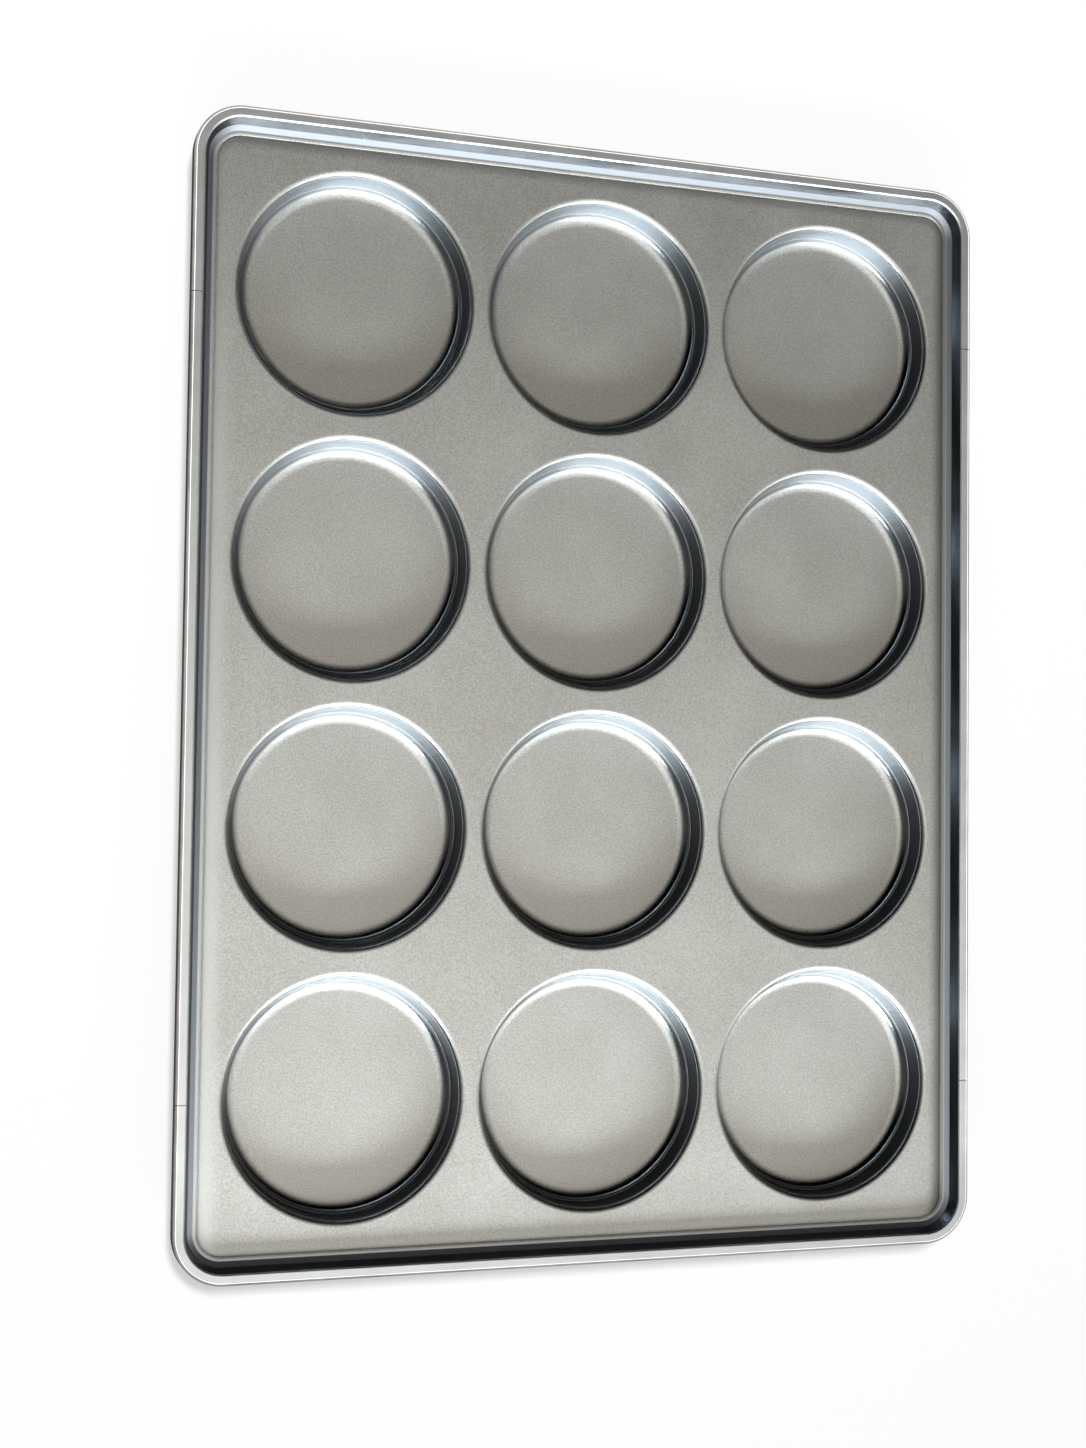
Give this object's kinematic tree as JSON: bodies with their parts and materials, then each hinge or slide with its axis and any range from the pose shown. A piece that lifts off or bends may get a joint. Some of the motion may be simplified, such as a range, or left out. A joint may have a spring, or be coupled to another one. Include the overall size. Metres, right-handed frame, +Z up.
{
  "type": "hamburger bun pan",
  "caption": "Flat rectangular baking pan of pressed steel sheet with rows of shallow round cups for burger buns, an inner wall band and a rolled, wired rim.",
  "frame": {"origin": "under the middle of the pan, on the surface that the undersides of the cups rest on", "axes": "+X across the pan along its short side, +Y along its long side towards the end with the band's seam, +Z up out of the cups"},
  "size_m": [0.3412, 0.456, 0.019],
  "materials": {
    "satin_sheet": "satin aluminised sheet with a fine grain",
    "polished_band": "smooth, half bright",
    "rolled_rim": "smooth, half bright, rubbed lighter along the rounded edges",
    "drawn_wire": "plain drawn wire"
  },
  "bodies": {
    "root": {"pan_sheet": "satin_sheet", "wall_band": "polished_band", "rim_wire": "drawn_wire", "rim_strip_top": "rolled_rim", "rim_strip_left": "rolled_rim", "rim_strip_bottom": "rolled_rim", "rim_strip_right": "rolled_rim"}
  },
  "joints": []
}
